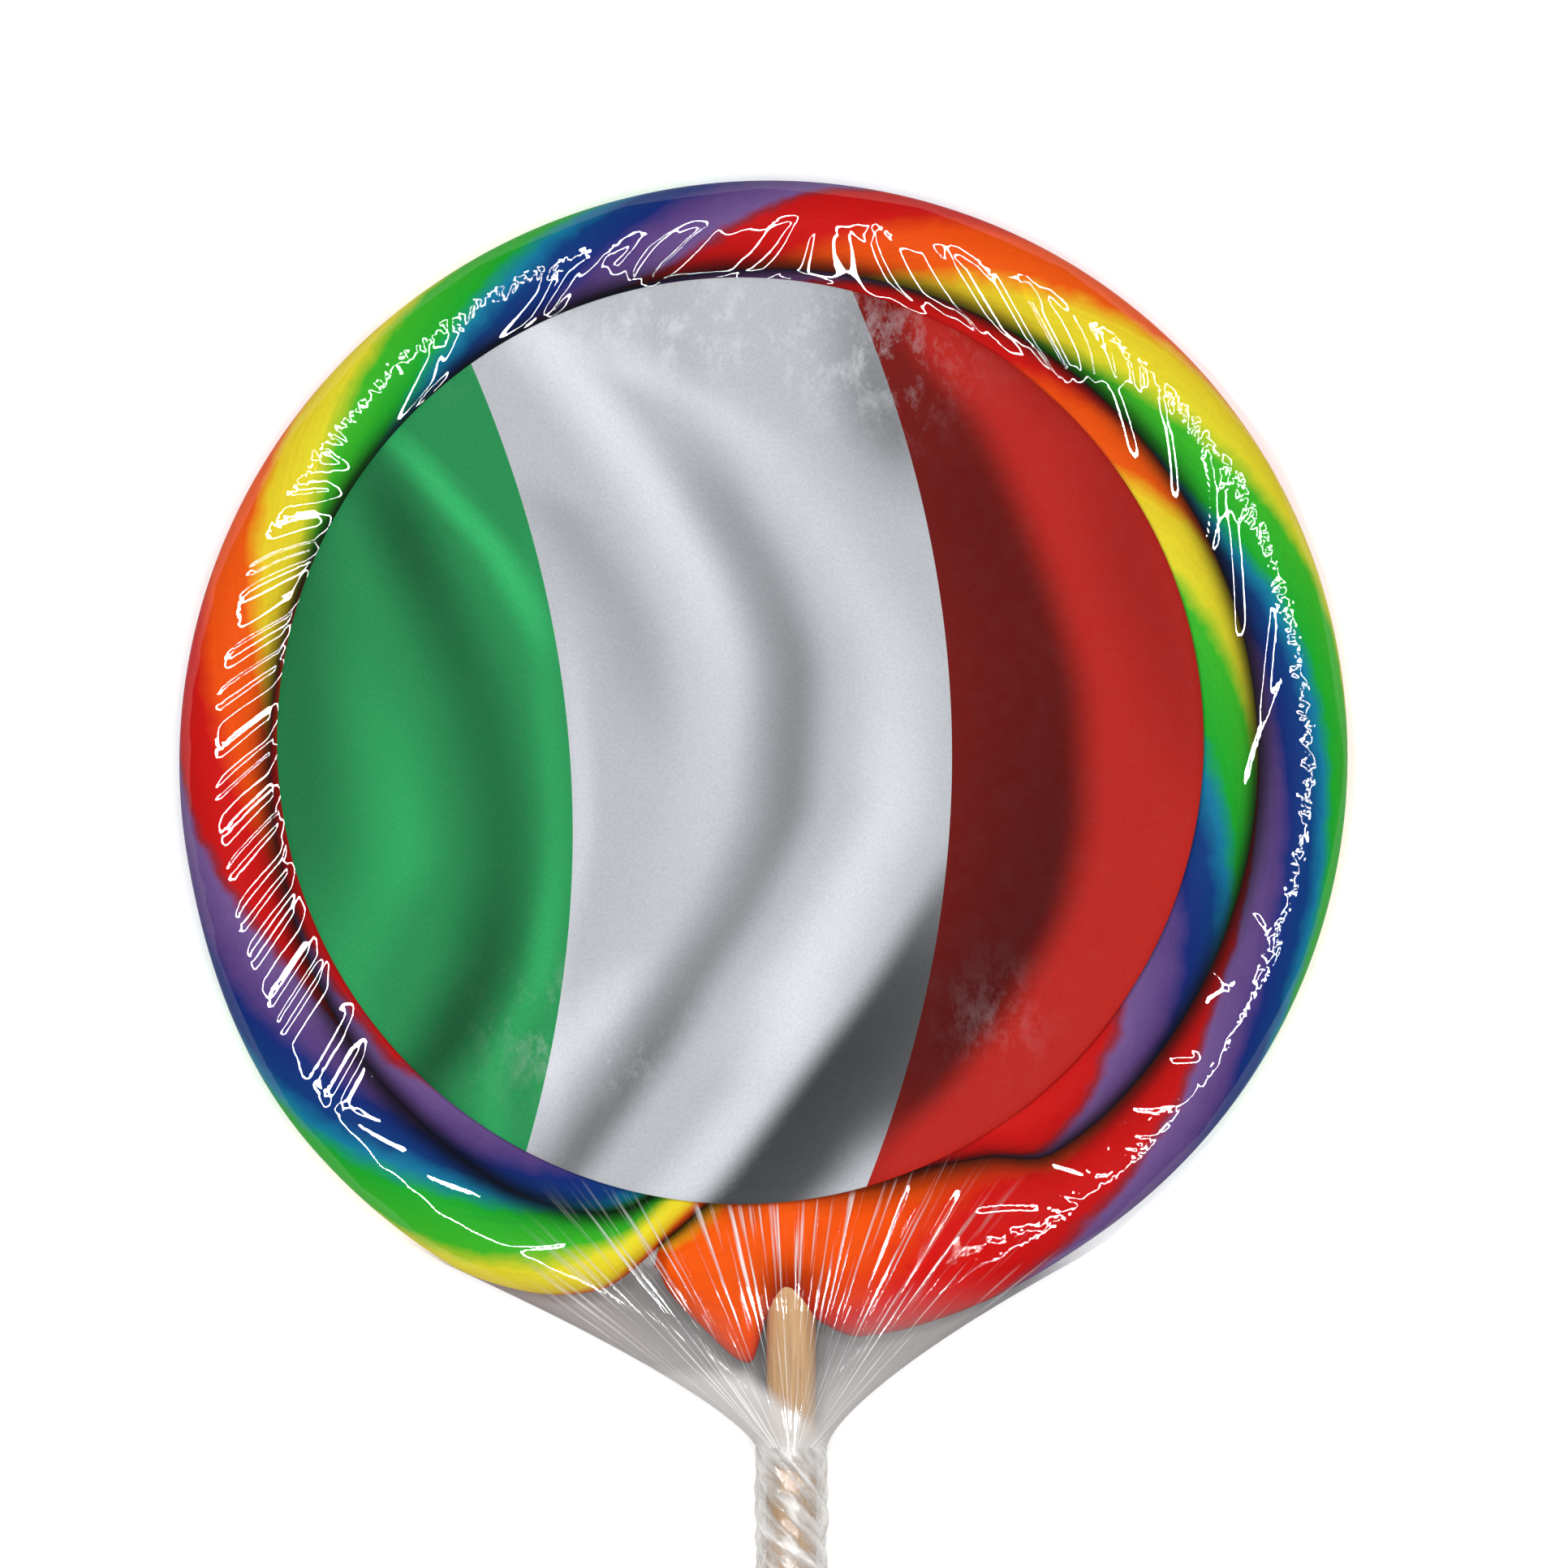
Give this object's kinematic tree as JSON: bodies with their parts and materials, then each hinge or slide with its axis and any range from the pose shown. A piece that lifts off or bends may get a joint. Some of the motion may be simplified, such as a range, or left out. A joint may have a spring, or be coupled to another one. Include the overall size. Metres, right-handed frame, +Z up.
{
  "type": "swirl lollipop",
  "caption": "Large rainbow swirl lollipop of coiled hard candy on a wooden stick, in clear twisted wrap with a round tricolour label.",
  "frame": {"origin": "under the middle of the candy disc, on the surface that the lollipop lies on", "axes": "+Z up out of the shown side, +Y away from the stick along the lollipop's length, +X to the right as seen from above"},
  "size_m": [0.1536, 0.2968, 0.0134],
  "materials": {
    "candy": "glossy boiled sugar, twisted stripes of red, orange, yellow, green, blue and violet",
    "stick_wood": "plain birch dowel, fine straight grain",
    "clear_film": "thin clear wrinkled film with crisp highlights, pleated and twisted at the neck",
    "label_paper": "smooth coated paper printed with a waving green, white and red tricolour, soft sheen"
  },
  "bodies": {
    "root": {"candy_swirl": "candy", "stick": "stick_wood", "film_wrap": "clear_film", "label": "label_paper"}
  },
  "joints": []
}
